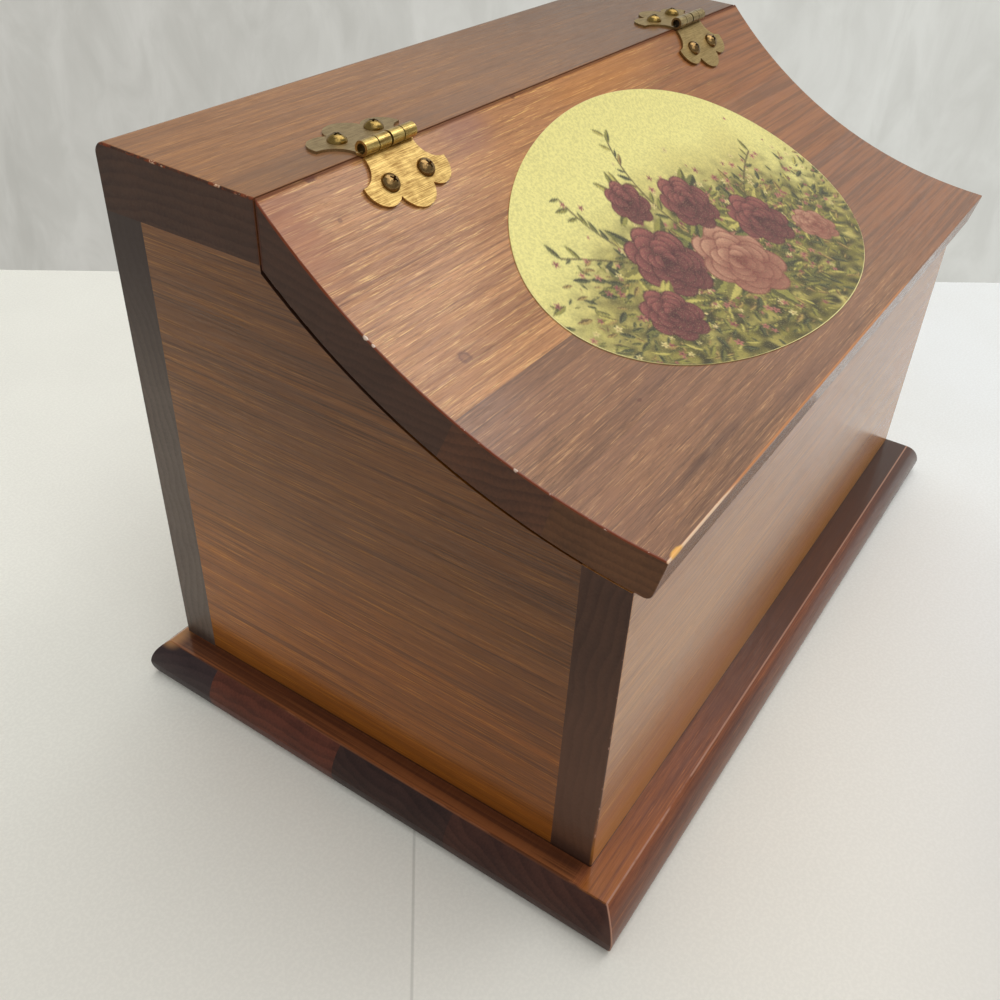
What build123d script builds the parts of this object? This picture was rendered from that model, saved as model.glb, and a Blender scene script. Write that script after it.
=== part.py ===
from build123d import *
import math
import os

# Keepsake box: a nailed wooden case on a moulded base board, with a hollow-curved lid on two
# brass butterfly hinges. Millimetres, Z up, the front towards -Y. The origin lies on the floor
# at the centre of the base board.

# Base board, edge-glued from four boards; the front one takes what the other three leave
base_thickness = 16.0
base_left_overhang = 14.5
base_right_overhang = 8.0
base_front_overhang = 17.0
base_back_overhang = 7.5
base_back_board_width = 33.0
base_rear_middle_board_width = 62.0
base_front_middle_board_width = 50.0
base_edge_top_inset = 6.3
base_edge_widest_height = 6.0
base_edge_bulge = 1.3
base_edge_foot_inset = 1.5

# Case; its height is taken at the joint with the lid, and the top board rises from there to the back
body_length = 312.0
body_depth = 186.5
body_height = 194.0
front_board_thickness = 15.5
back_board_thickness = 15.5
side_panel_thickness = 15.5
top_board_thickness = 19.0
top_board_rise = 2.0
top_board_depth = 63.4
top_back_edge_radius = 4.0
corner_softening = 0.8

# Lid, glued up from four boards and hollowed to one radius
lid_radius = 204.0
lid_thickness = 14.8
lid_front_height = 134.5
lid_front_overhang = 8.0
lid_front_undercut = 3.2
lid_right_overhang = 1.0
lid_back_gap = 0.4
lid_back_drop = 0.1
lid_front_upper_radius = 0.6
lid_front_lower_radius = 2.5
lid_end_softening = 0.4
lid_back_board_width = 37.6
lid_rear_middle_board_width = 41.8
lid_front_middle_board_width = 33.8
seat_gap_front = 0.35
seat_gap_back = 1.1

# Oval paper picture glued on the lid
picture_length = 198.0
picture_width = 122.0
picture_thickness = 0.25
picture_centre_from_back = 73.3
picture_centre_x = 3.5
glue_gap = 0.1

# Butterfly hinges: each leaf has a neck, two side lobes and a middle lobe
left_hinge_inset = 54.6
right_hinge_inset = 51.7
barrel_length = 24.0
knuckle_count = 4
knuckle_gap = 0.4
centre_knuckle_gap = 0.9
pin_diameter = 3.0
pin_running_gap = 0.05
pin_end_recess = 2.0
leaf_thickness = 0.8
knuckle_relief = 0.25
roll_slit = 0.3
side_lobe_radius = 6.9
side_lobe_spacing = 24.6
side_lobe_reach = 11.7
middle_lobe_radius = 7.9
middle_lobe_reach = 15.0
bite_radius = 7.6
bite_spacing = 38.0
bite_reach = 2.9

# Round-head screws in the hinges
hinge_screw_spacing = 17.0
hinge_screw_reach = 12.0
hinge_screw_head_diameter = 6.4
hinge_screw_head_height = 2.4
hinge_screw_diameter = 3.4
hinge_screw_length = 12.5
hinge_screw_hole = 3.7
cross_slot_width = 0.7
cross_slot_length = 2.8
cross_slot_depth = 1.2
first_slot_turn = 10.0
last_slot_turn = 80.0

# Countersunk screws up through the base board into the walls
base_screw_length = 32.0
base_screw_diameter = 3.6
base_screw_head_diameter = 7.4
base_screw_head_height = 2.6
base_screw_recess = 0.5
base_screw_corner_inset = 45.0

# Finishing nails, set below the surface and filled over
nail_length = 32.0
nail_diameter = 1.6
nail_head_diameter = 2.6
nail_head_height = 1.0
nail_set_depth = 2.5
front_nail_count = 3
back_nail_count = 4
top_nail_count = 3
corner_nail_inset = 22.0
top_nail_end_inset = 46.0
point_length = 2.0
hole_play = 0.05
quarter_turn = 90

# Places that follow from the sizes above, with X from the middle of the body
base_length = body_length + base_left_overhang + base_right_overhang
base_depth = body_depth + base_front_overhang + base_back_overhang
base_top = base_thickness
base_rear_seam = base_depth / 2 - base_back_board_width
base_middle_seam = base_rear_seam - base_rear_middle_board_width
base_front_seam = base_middle_seam - base_front_middle_board_width
body_back = base_depth / 2 - base_back_overhang
body_front = body_back - body_depth
body_end = body_length / 2
base_left = -body_end - base_left_overhang
base_right = body_end + base_right_overhang
base_middle_x = (base_left + base_right) / 2
top_z = base_top + body_height
top_underside = top_z - top_board_thickness
top_front = body_back - top_board_depth
top_slope = math.atan(top_board_rise / top_board_depth)
front_inner = body_front + front_board_thickness
back_inner = body_back - back_board_thickness
side_centre = body_end - side_panel_thickness / 2
front_centre = body_front + front_board_thickness / 2
back_centre = body_back - back_board_thickness / 2

lid_back = top_front - lid_back_gap
lid_back_z = top_z - lid_back_drop
lid_front = body_front - lid_front_overhang
lid_front_z = base_top + lid_front_height
lid_right = body_end + lid_right_overhang
hinge_places = {"left": left_hinge_inset - body_end, "right": body_end - right_hinge_inset}


def arc_centre():
    """Centre (y, z) of the lid's upper curve, above the chord from its back edge to its front edge."""
    chord_y = lid_front - lid_back
    chord_z = lid_front_z - lid_back_z
    chord = math.hypot(chord_y, chord_z)
    rise = math.sqrt(lid_radius**2 - (chord / 2) ** 2)
    middle_y = (lid_back + lid_front) / 2
    middle_z = (lid_back_z + lid_front_z) / 2
    return middle_y + rise * chord_z / chord, middle_z - rise * chord_y / chord


curve_y, curve_z = arc_centre()
under_radius = lid_radius + lid_thickness
back_angle = math.asin((lid_back - curve_y) / lid_radius)


def on_curve(angle, radius):
    """Point (y, z) on a circle about the lid's centre of curvature, by the angle from straight down."""
    return curve_y + radius * math.sin(angle), curve_z - radius * math.cos(angle)


def on_curve_at(y, radius):
    """Point (y, z) where that circle passes the given y."""
    return on_curve(math.asin((y - curve_y) / radius), radius)


def angle_from_back(distance):
    """Angle of the point on the lid's upper face at a distance along the curve from its back edge."""
    return back_angle - distance / lid_radius


def along_x(profile, start, end):
    """Extrude a profile, drawn as (y, z), between two x positions."""
    return extrude(Plane.YZ.offset(start) * profile, end - start)


def along_y(profile, start, end):
    """Extrude a profile, drawn as (x, z), between two y positions."""
    return extrude(Plane.XZ.offset(-start) * profile, start - end)


def block(x0, x1, y0, y1, z0, z1):
    return Pos((x0 + x1) / 2, (y0 + y1) / 2, (z0 + z1) / 2) * Box(x1 - x0, y1 - y0, z1 - z0)


def spread(first, last, count):
    """Evenly spaced places from first to last."""
    if count == 1:
        return [(first + last) / 2]
    return [first + (last - first) * i / (count - 1) for i in range(count)]


# Base board

def moulded_section(width):
    """Section across the base: a flat thumb mould over a small under-round on both edges."""
    half = width / 2
    foot = half - base_edge_foot_inset
    crease = half - base_edge_top_inset
    outline = [
        Line((-foot, 0), (foot, 0)),
        TangentArc((half, base_edge_widest_height), (foot, 0), tangent=(0, -1)),
        SagittaArc((crease, base_thickness), (half, base_edge_widest_height), base_edge_bulge),
        Line((crease, base_thickness), (-crease, base_thickness)),
        SagittaArc((-half, base_edge_widest_height), (-crease, base_thickness), base_edge_bulge),
        TangentArc((-half, base_edge_widest_height), (-foot, 0), tangent=(0, -1)),
    ]
    return make_face(Curve() + outline)


def make_base_boards():
    """The moulded board with mitred corners in its edge, sawn at the three glue lines."""
    half_depth = base_depth / 2
    board = along_x(moulded_section(base_depth), base_left, base_right)
    board &= along_y(Pos(base_middle_x, 0) * moulded_section(base_length), -half_depth, half_depth)
    strips = {
        "base_back_board": (base_rear_seam, half_depth),
        "base_rear_middle_board": (base_middle_seam, base_rear_seam),
        "base_front_middle_board": (base_front_seam, base_middle_seam),
        "base_front_board": (-half_depth, base_front_seam),
    }
    return {
        name: board & block(base_left, base_right, y0, y1, 0, base_thickness)
        for name, (y0, y1) in strips.items()
    }


# Case

def seat_cutter():
    """Everything above the hollow edge that the closed lid lies over."""
    middle = (top_front + body_front) / 2
    middle_gap = (seat_gap_front + seat_gap_back) / 2
    high = on_curve_at(top_front, under_radius + seat_gap_back)
    low = on_curve_at(body_front, under_radius + seat_gap_front)
    arc = ThreePointArc(high, on_curve_at(middle, under_radius + middle_gap), low)
    rim = Polyline(low, (body_front, top_z), (top_front, top_z), high)
    return along_x(make_face(Curve() + [arc, rim]), -body_end, body_end)


def top_height(y):
    """Height of the top board's upper face."""
    return top_z + (y - top_front) * math.tan(top_slope)


def make_case_boards():
    seat = seat_cutter()
    front = block(-body_end, body_end, body_front, front_inner, base_top, top_underside) - seat
    front = fillet(front.edges().filter_by(Axis.Z).group_by(Axis.Y)[0], corner_softening)
    back = block(-body_end, body_end, back_inner, body_back, base_top, top_underside)
    back = fillet(back.edges().filter_by(Axis.Z).group_by(Axis.Y)[-1], corner_softening)
    panel = block(
        body_end - side_panel_thickness, body_end, front_inner, back_inner, base_top, top_underside
    ) - seat
    top_section = Polyline(
        (top_front, top_underside),
        (body_back, top_underside),
        (body_back, top_height(body_back)),
        (top_front, top_z),
        close=True,
    )
    top = along_x(make_face(top_section), -body_end, body_end)
    top = fillet(top.edges().filter_by(Axis.X).sort_by(Axis.Z)[-1], top_back_edge_radius)
    upper_edges = top.faces().sort_by(Axis.Z)[-1].edges().sort_by(Axis.X)
    top = fillet([upper_edges[0], upper_edges[-1]], corner_softening)
    return {
        "front_board": front,
        "back_board": back,
        "left_side_panel": panel.mirror(Plane.YZ),
        "right_side_panel": panel,
        "top_board": top,
    }


# Lid

def lid_section():
    """Section of the lid: two concentric curves, an upright back edge and an undercut front edge."""
    front_under = on_curve_at(lid_front + lid_front_undercut, under_radius)
    back_under = on_curve_at(lid_back, under_radius)
    back_top = (lid_back, lid_back_z)
    front_top = (lid_front, lid_front_z)
    half_turn = (back_angle + math.asin((lid_front - curve_y) / lid_radius)) / 2
    outline = [
        ThreePointArc(back_top, on_curve(half_turn, lid_radius), front_top),
        Line(front_top, front_under),
        ThreePointArc(front_under, on_curve(half_turn, under_radius), back_under),
        Line(back_under, back_top),
    ]
    face = make_face(Curve() + outline)
    face = fillet(face.vertices().sort_by_distance(front_top)[0], lid_front_upper_radius)
    return fillet(face.vertices().sort_by_distance(front_under)[0], lid_front_lower_radius)


def wedge(start_angle, end_angle):
    """Slice of space between two planes through the lid's axis of curvature."""
    far = 2 * under_radius
    corners = [(curve_y, curve_z), on_curve(start_angle, far), on_curve(end_angle, far)]
    return along_x(make_face(Polyline(corners, close=True)), -body_end, lid_right)


def make_lid_boards():
    """The curved lid, sawn square to its face at the three glue lines."""
    lid = along_x(lid_section(), -body_end, lid_right)
    ends = lid.faces().filter_by(Axis.X)
    lid = fillet(ends.edges(), lid_end_softening)
    rear_seam = angle_from_back(lid_back_board_width)
    middle_seam = rear_seam - lid_rear_middle_board_width / lid_radius
    front_seam = middle_seam - lid_front_middle_board_width / lid_radius
    spare = math.radians(15)
    lowest = math.asin((lid_front - curve_y) / lid_radius) - spare
    strips = {
        "lid_back_board": (back_angle + spare, rear_seam),
        "lid_rear_middle_board": (rear_seam, middle_seam),
        "lid_front_middle_board": (middle_seam, front_seam),
        "lid_front_board": (front_seam, lowest),
    }
    return {name: lid & wedge(start, end) for name, (start, end) in strips.items()}


def make_picture():
    """Oval paper, bent to the lid's hollow face."""
    centre_angle = angle_from_back(picture_centre_from_back)
    half_angle = picture_width / 2 / lid_radius
    spare = math.radians(2)
    start = centre_angle + half_angle + spare
    end = centre_angle - half_angle - spare
    low = lid_radius - glue_gap
    high = low - picture_thickness
    outline = [
        ThreePointArc(on_curve(start, low), on_curve(centre_angle, low), on_curve(end, low)),
        Line(on_curve(end, low), on_curve(end, high)),
        ThreePointArc(on_curve(end, high), on_curve(centre_angle, high), on_curve(start, high)),
        Line(on_curve(start, high), on_curve(start, low)),
    ]
    sheet = along_x(make_face(Curve() + outline), -body_end, body_end)
    y, z = on_curve(centre_angle, lid_radius)
    facing = Plane(
        origin=(picture_centre_x, y, z),
        x_dir=(1, 0, 0),
        z_dir=(0, -math.sin(centre_angle), math.cos(centre_angle)),
    )
    half_width = lid_radius * math.sin(half_angle)
    oval = extrude(facing * Ellipse(picture_length / 2, half_width), lid_thickness, both=True)
    return sheet & oval


# Hinges

knuckle_radius = pin_diameter / 2 + pin_running_gap + leaf_thickness
leaf_reach = middle_lobe_reach + middle_lobe_radius
leaf_slope = back_angle - leaf_reach / 2 / lid_radius


def pin_centre():
    """Centre (y, z) of a barrel that rests on the top board's slope and on the lid leaf's slope."""
    above_top = knuckle_radius + math.cos(top_slope) * top_z - math.sin(top_slope) * top_front
    above_lid = knuckle_radius + math.cos(leaf_slope) * lid_back_z - math.sin(leaf_slope) * lid_back
    between = math.sin(leaf_slope - top_slope)
    y = (above_top * math.cos(leaf_slope) - above_lid * math.cos(top_slope)) / between
    z = (above_top * math.sin(leaf_slope) - above_lid * math.sin(top_slope)) / between
    return y, z


pin_y, pin_z = pin_centre()


def leaf_place(x, facing_x, slope):
    """Plane of a leaf's underside, below the pin: its own X runs along the barrel, Z out of the wood."""
    up = (0, -math.sin(slope), math.cos(slope))
    foot = (x, pin_y - knuckle_radius * up[1], pin_z - knuckle_radius * up[2])
    return Plane(origin=foot, x_dir=(facing_x, 0, 0), z_dir=up)


def top_leaf_place(x):
    """The leaf lies on the top board, its barrel over the joint."""
    return leaf_place(x, 1, top_slope)


def lid_leaf_place(x):
    """The leaf lies across the hollow of the lid, turned about so that the knuckles interleave."""
    return leaf_place(x, -1, leaf_slope)


def gap_before(index):
    """Gap between a knuckle and the one before it; the one in the middle of the barrel is wider."""
    return centre_knuckle_gap if 2 * index == knuckle_count else knuckle_gap


def make_leaf(first_knuckle):
    """One leaf on its own plane: X along the barrel, Y away from it, Z out of the wood."""
    inner = knuckle_radius - leaf_thickness
    relief = math.sqrt((knuckle_radius + knuckle_relief) ** 2 - inner**2)
    neck_length = side_lobe_reach - relief
    plate = Pos(0, relief + neck_length / 2) * Rectangle(barrel_length, neck_length)
    plate += Pos(0, middle_lobe_reach) * Circle(middle_lobe_radius)
    for side in (-1, 1):
        plate += Pos(side * side_lobe_spacing / 2, side_lobe_reach) * Circle(side_lobe_radius)
    for side in (-1, 1):
        plate -= Pos(side * bite_spacing / 2, bite_reach) * Circle(bite_radius)
        plate -= Pos(side * hinge_screw_spacing / 2, hinge_screw_reach) * Circle(hinge_screw_hole / 2)
    leaf = extrude(plate, leaf_thickness)
    roll = Pos(0, knuckle_radius) * (Circle(knuckle_radius) - Circle(inner))
    roll += Pos(relief / 2, leaf_thickness / 2) * Rectangle(relief, leaf_thickness)
    slit = Pos(knuckle_radius, leaf_thickness + roll_slit / 2) * Rectangle(2 * inner, roll_slit)
    roll -= slit
    pitch = barrel_length / knuckle_count
    for index in range(first_knuckle, knuckle_count, 2):
        start = -barrel_length / 2 + index * pitch + gap_before(index) / 2
        end = -barrel_length / 2 + (index + 1) * pitch - gap_before(index + 1) / 2
        leaf += along_x(roll, start, end)
    return leaf


def make_pin(x):
    """Plain pin, a little shorter than the barrel, so that both ends show as hollow rolls."""
    half = barrel_length / 2 - pin_end_recess
    pin = along_x(Circle(pin_diameter / 2), -half, half)
    return Pos(x, pin_y, pin_z) * pin


# Fasteners, drawn with the point towards -Z and the underside of the head, or its top, at Z = 0

def turned(points):
    """Turn an outline of (radius, height) points about Z."""
    return revolve(Plane.XZ * make_face(Polyline(points, close=True)), Axis.Z)


def make_hinge_screw(turn):
    """Round-head screw with a cross recess, its head standing on Z = 0."""
    head_radius = hinge_screw_head_diameter / 2
    dome = Curve() + [
        Line((0, 0), (head_radius, 0)),
        EllipticalCenterArc((0, 0), head_radius, hinge_screw_head_height, arc_size=quarter_turn),
        Line((0, hinge_screw_head_height), (0, 0)),
    ]
    screw = revolve(Plane.XZ * make_face(dome), Axis.Z)
    screw += hinge_screw_shank(0)
    return screw - Pos(0, 0, hinge_screw_head_height) * cross_recess(turn)


def hinge_screw_shank(play):
    """Pointed shank hanging from Z = 0; with some play, the hole that takes it."""
    radius = hinge_screw_diameter / 2 + play
    end = -hinge_screw_length - play
    return turned([(0, 0), (radius, 0), (radius, end + point_length), (0, end)])


def cross_recess(turn):
    """Two crossed slots, sunk from Z = 0."""
    slot = Box(cross_slot_length, cross_slot_width, 2 * cross_slot_depth)
    return Rot(0, 0, turn) * slot + Rot(0, 0, turn + quarter_turn) * slot


def countersunk_shape(play):
    """Countersunk screw, the top of its head at Z = 0; with some play, the hole that takes it."""
    head = base_screw_head_diameter / 2 + play
    shank = base_screw_diameter / 2 + play
    neck = -base_screw_head_height - play
    end = -base_screw_length - play
    return turned([(0, 0), (head, 0), (shank, neck), (shank, end + point_length), (0, end)])


def base_screw_hole():
    """Countersunk hole, and the short straight mouth in which the head lies below the surface."""
    mouth = Cylinder(base_screw_head_diameter / 2 + hole_play, base_screw_recess)
    return countersunk_shape(hole_play) + Pos(0, 0, base_screw_recess / 2) * mouth


def nail_shape(play):
    """Finishing nail, the top of its head at Z = 0; with some play, the hole that takes it."""
    head = nail_head_diameter / 2 + play
    shank = nail_diameter / 2 + play
    neck = -nail_head_height - play
    end = -nail_length - play
    outline = [(0, play), (head, play), (head, neck), (shank, neck)]
    outline += [(shank, end + point_length), (0, end)]
    return turned(outline)


def hinge_screw_places(leaf):
    """Seats of the two heads on a leaf, given by its plane."""
    across = hinge_screw_spacing / 2
    return [leaf.location * Pos(x, hinge_screw_reach, leaf_thickness) for x in (-across, across)]


def base_screw_places():
    """Each wall takes screws from below; the places turn the point upwards."""
    along = body_end - base_screw_corner_inset
    spots = [(x, y) for y in (front_centre, back_centre) for x in (-along, 0, along)]
    strip_centres = ((base_rear_seam + base_middle_seam) / 2, (base_middle_seam + base_front_seam) / 2)
    spots += [(x, y) for x in (-side_centre, side_centre) for y in strip_centres]
    return [Pos(x, y, base_screw_recess) * Rot(2 * quarter_turn, 0, 0) for x, y in spots]


def nail_places():
    """Nails through the front and back boards into the side panels, and down through the top board."""
    places = []
    front_height = on_curve_at(body_front, under_radius)[1]
    for x in (-side_centre, side_centre):
        for z in spread(base_top + corner_nail_inset, front_height - corner_nail_inset, front_nail_count):
            places.append(Pos(x, body_front + nail_set_depth, z) * Rot(quarter_turn, 0, 0))
        for z in spread(base_top + corner_nail_inset, top_underside - corner_nail_inset, back_nail_count):
            places.append(Pos(x, body_back - nail_set_depth, z) * Rot(-quarter_turn, 0, 0))
        side_y = (back_inner + top_front) / 2
        places.append(Pos(x, side_y, top_height(side_y) - nail_set_depth))
    for x in spread(-body_end + top_nail_end_inset, body_end - top_nail_end_inset, top_nail_count):
        places.append(Pos(x, back_centre, top_height(back_centre) - nail_set_depth))
    return places


def make_fasteners():
    """Screws and nails, each kind a group, and the holes that they need in the wood."""
    places = {"hinge_screws_top": [], "hinge_screws_lid": []}
    for x in hinge_places.values():
        places["hinge_screws_top"] += hinge_screw_places(top_leaf_place(x))
        places["hinge_screws_lid"] += hinge_screw_places(lid_leaf_place(x))
    groups = {}
    holes = []
    for name, seats in places.items():
        turns = spread(first_slot_turn, last_slot_turn, len(seats))
        groups[name] = [seat * make_hinge_screw(turn) for seat, turn in zip(seats, turns)]
        holes += [seat * hinge_screw_shank(hole_play) for seat in seats]
    base_screw = countersunk_shape(0) - cross_recess(first_slot_turn)
    groups["base_screws"] = [place * base_screw for place in base_screw_places()]
    holes += [place * base_screw_hole() for place in base_screw_places()]
    groups["finishing_nails"] = [place * nail_shape(0) for place in nail_places()]
    holes += [place * nail_shape(hole_play) for place in nail_places()]
    return groups, holes


def drilled(board, holes):
    """The board with every hole that reaches it."""
    box = board.bounding_box()
    for hole in holes:
        if box.overlaps(hole.bounding_box()):
            board = board - hole
    return board


def main():
    groups, holes = make_fasteners()
    boards = {**make_base_boards(), **make_case_boards(), **make_lid_boards()}
    nodes = {name: drilled(board, holes) for name, board in boards.items()}
    nodes["picture_print"] = make_picture()
    for side, x in hinge_places.items():
        nodes[f"{side}_hinge_top_leaf"] = top_leaf_place(x).location * make_leaf(0)
        nodes[f"{side}_hinge_lid_leaf"] = lid_leaf_place(x).location * make_leaf(knuckle_count % 2)
        nodes[f"{side}_hinge_pin"] = make_pin(x)
    to_origin = Pos(-base_middle_x, 0, 0)
    nodes = {name: to_origin * shape for name, shape in nodes.items()}
    for name, pieces in groups.items():
        solids = [to_origin * solid for piece in pieces for solid in piece.solids()]
        nodes[name] = Compound(children=solids)
    os.makedirs("parts", exist_ok=True)
    for name, shape in nodes.items():
        export_step(shape, f"parts/{name}.step")
    print(f"pin at y {pin_y:.3f}, z {pin_z:.3f}; lid curve centre y {curve_y:.2f}, z {curve_z:.2f}")


main()
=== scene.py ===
import bpy
import math
import numpy as np
from functools import reduce
from mathutils import Matrix, Vector


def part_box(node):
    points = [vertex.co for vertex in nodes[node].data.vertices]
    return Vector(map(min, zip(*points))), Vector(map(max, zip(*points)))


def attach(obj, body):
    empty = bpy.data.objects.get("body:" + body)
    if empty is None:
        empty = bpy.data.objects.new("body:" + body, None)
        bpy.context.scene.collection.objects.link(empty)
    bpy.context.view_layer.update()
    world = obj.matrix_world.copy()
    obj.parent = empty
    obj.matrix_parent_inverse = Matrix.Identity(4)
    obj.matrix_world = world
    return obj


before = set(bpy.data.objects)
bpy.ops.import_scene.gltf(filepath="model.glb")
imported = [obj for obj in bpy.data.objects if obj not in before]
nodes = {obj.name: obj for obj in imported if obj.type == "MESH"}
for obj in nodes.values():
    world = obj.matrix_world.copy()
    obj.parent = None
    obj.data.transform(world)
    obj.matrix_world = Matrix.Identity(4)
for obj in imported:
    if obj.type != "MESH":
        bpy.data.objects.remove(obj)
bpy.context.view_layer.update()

# Camera: place in metres, aim and roll as found from the photograph's own perspective

CAMERA_PLACE = Vector((-0.340342, -0.165023, 0.315031))
CAMERA_AIM = Vector((0.674721, 0.425117, -0.603346))
CAMERA_UP = Vector((0.484105, 0.362154, 0.796547))
SENSOR_WIDTH = 36.0
LENS = 37.559
CLIP_START = 0.01
CLIP_END = 20


def make_camera():
    """Camera with the photograph's view."""
    data = bpy.data.cameras.new("camera")
    data.sensor_width = SENSOR_WIDTH
    data.lens = LENS
    data.clip_start = CLIP_START
    data.clip_end = CLIP_END
    camera = bpy.data.objects.new("camera", data)
    bpy.context.scene.collection.objects.link(camera)
    back = -CAMERA_AIM.normalized()
    right = CAMERA_UP.cross(back).normalized()
    up = back.cross(right)
    turn = Matrix((right, up, back)).transposed()
    camera.matrix_world = Matrix.Translation(CAMERA_PLACE) @ turn.to_4x4()
    bpy.context.scene.camera = camera


make_camera()

# Places taken from the frame, in millimetres

MM = 1000


def node_box(name):
    """Lowest and highest corner of a CAD node."""
    low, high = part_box(name)
    return low * MM, high * MM


def node_points(name):
    """Corners of a CAD node's mesh, one in each row."""
    return np.array([vertex.co[:] for vertex in nodes[name].data.vertices]) * MM


def flat_top_corner(name):
    """Lowest X and Y of a CAD node's flat top."""
    points = node_points(name)
    return points[points[:, 2] > points[:, 2].max() - 0.01].min(axis=0)[:2]


def fitted_circle(points):
    """Centre (y, z) of the circle that runs nearest to a set of (y, z) points."""
    sums = np.c_[2 * points, np.ones(len(points))]
    solved = np.linalg.lstsq(sums, (points**2).sum(axis=1), rcond=None)[0]
    return float(solved[0]), float(solved[1])


def lid_height(y):
    """Height of the lid's hollow face."""
    return CURVE_Z - math.sqrt(LID_RADIUS**2 - (y - CURVE_Y) ** 2)


picture_points = node_points("picture_print")[:, 1:]
CURVE_Y, CURVE_Z = fitted_circle(picture_points)
PICTURE_RADIUS = float(np.hypot(picture_points[:, 0] - CURVE_Y, picture_points[:, 1] - CURVE_Z).min())
PICTURE_LOW, PICTURE_HIGH = node_box("picture_print")
LID_LEFT = node_box("lid_front_board")[0].x
LID_RIGHT = node_box("lid_front_board")[1].x
LID_BACK = node_box("lid_back_board")[1].y
LID_BACK_Z = node_box("lid_back_board")[1].z
LID_RADIUS = math.hypot(LID_BACK - CURVE_Y, LID_BACK_Z - CURVE_Z)
LID_FRONT = node_box("lid_front_board")[0].y
LID_FRONT_Z = lid_height(LID_FRONT)
BODY_LEFT = node_box("front_board")[0].x
BODY_RIGHT = node_box("front_board")[1].x
BODY_FRONT = node_box("front_board")[0].y
BODY_BACK = node_box("back_board")[1].y
BASE_LEFT, BASE_FRONT = node_box("base_front_board")[0].xy
BASE_TOP = node_box("base_front_board")[1].z
CREASE_LEFT, CREASE_FRONT = flat_top_corner("base_front_board")
TOP_FRONT = node_box("top_board")[0].y
TOP_Z = node_box("top_board")[1].z
PIN_MIDDLE = sum(node_box("left_hinge_pin"), Vector()) / 2


# Colours

def linear(shown):
    """Channels from 0 to 255, as a screen shows them, as the linear values that shaders use."""
    share = np.asarray(shown) / 255
    return np.where(share <= 0.04045, share / 12.92, ((share + 0.055) / 1.055) ** 2.4)


def rgba(colour):
    """Screen colour (red, green, blue) as a shader colour."""
    return (*linear(colour), 1.0)


def darker(colour, share):
    """Screen colour with each channel brought down to a share of itself."""
    return tuple(channel * share for channel in colour)


# Shader helpers

class Shader:
    """A material, built up from shader nodes. Any input takes another node's socket or a plain value,
    and a plain colour is written as the screen shows it."""

    def __init__(self, name):
        self.material = bpy.data.materials.new(name)
        self.material.use_nodes = True
        self.tree = self.material.node_tree
        self.tree.nodes.clear()

    def feed(self, taker, value):
        """Link a socket to an input, or give the input a plain value."""
        if isinstance(value, bpy.types.NodeSocket):
            self.tree.links.new(value, taker)
        else:
            taker.default_value = rgba(value) if taker.type == "RGBA" else value

    def node(self, kind, inputs=(), **settings):
        """New shader node; inputs go by their name or number."""
        made = self.tree.nodes.new("ShaderNode" + kind)
        for key, value in settings.items():
            setattr(made, key, value)
        for key, value in dict(inputs).items():
            self.feed(made.inputs[key], value)
        return made

    def math(self, operation, a, b=0.0):
        return self.node("Math", {0: a, 1: b}, operation=operation).outputs[0]

    def plus(self, *values):
        return reduce(lambda a, b: self.math("ADD", a, b), values)

    def minus(self, a, b):
        return self.math("SUBTRACT", a, b)

    def times(self, *values):
        return reduce(lambda a, b: self.math("MULTIPLY", a, b), values)

    def vector_math(self, operation, a, b=(0, 0, 0)):
        made = self.node("VectorMath", {0: a, 1: b}, operation=operation)
        return made.outputs["Value" if operation in ("LENGTH", "DOT_PRODUCT") else "Vector"]

    def scaled(self, vector, scale, offset=(0, 0, 0)):
        """Vector times scale, plus offset; a single number scales all three axes."""
        scales = scale if isinstance(scale, (tuple, list)) else (scale, scale, scale)
        made = self.node("VectorMath", {0: vector, 1: scales, 2: offset}, operation="MULTIPLY_ADD")
        return made.outputs["Vector"]

    def step(self, value, start, end, low=0.0, high=1.0, smooth=True):
        """Number that goes from low to high while the value goes from start to end."""
        kind = "SMOOTHSTEP" if smooth else "LINEAR"
        inputs = {"Value": value, "From Min": start, "From Max": end, "To Min": low, "To Max": high}
        return self.node("MapRange", inputs, interpolation_type=kind).outputs["Result"]

    def noise(self, vector, detail=3.0, roughness=0.55, distortion=0.0):
        """Smooth noise, from 0 to 1, with swells about one unit of the vector across."""
        inputs = {
            "Vector": vector, "Scale": 1.0, "Detail": detail, "Roughness": roughness,
            "Distortion": distortion,
        }
        return self.node("TexNoise", inputs).outputs["Fac"]

    def mix(self, factor, a, b, blend="MIX"):
        """Colour a, turned into b by the factor."""
        return self.node("Mix", {0: factor, 6: a, 7: b}, data_type="RGBA", blend_type=blend).outputs[2]

    def bump(self, height, distance, strength=1.0):
        inputs = {"Height": height, "Distance": distance, "Strength": strength}
        return self.node("Bump", inputs).outputs["Normal"]

    def axes(self, vector):
        """The X, Y and Z parts of a vector."""
        return self.node("SeparateXYZ", {"Vector": vector}).outputs

    def paired(self, x, y):
        """Vector of two parts."""
        return self.node("CombineXYZ", {"X": x, "Y": y}).outputs[0]

    def millimetres(self):
        """Place on the object at rest, in millimetres."""
        return self.scaled(self.node("TexCoord").outputs["Object"], MM)

    def away_from_line(self, mm, along, place):
        """Distance from a line along one axis; place gives its other two coordinates, in order."""
        keep = {"X": (0, 1, 1), "Y": (1, 0, 1), "Z": (1, 1, 0)}[along]
        rest = iter(place)
        offset = [-next(rest) if kept else 0 for kept in keep]
        return self.vector_math("LENGTH", self.scaled(mm, keep, offset))

    def surface(self, **inputs):
        """Finished material; inputs are the Principled shader's, in lower case with underscores."""
        names = {key.replace("_", " ").title().replace("Ior", "IOR"): v for key, v in inputs.items()}
        shader = self.node("BsdfPrincipled", names)
        self.node("OutputMaterial", {"Surface": shader.outputs[0]})
        return self.material


# Places and distances on the wood, in millimetres

LINE_FADE = 0.03
MITRE_FADE = 4.0


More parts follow.
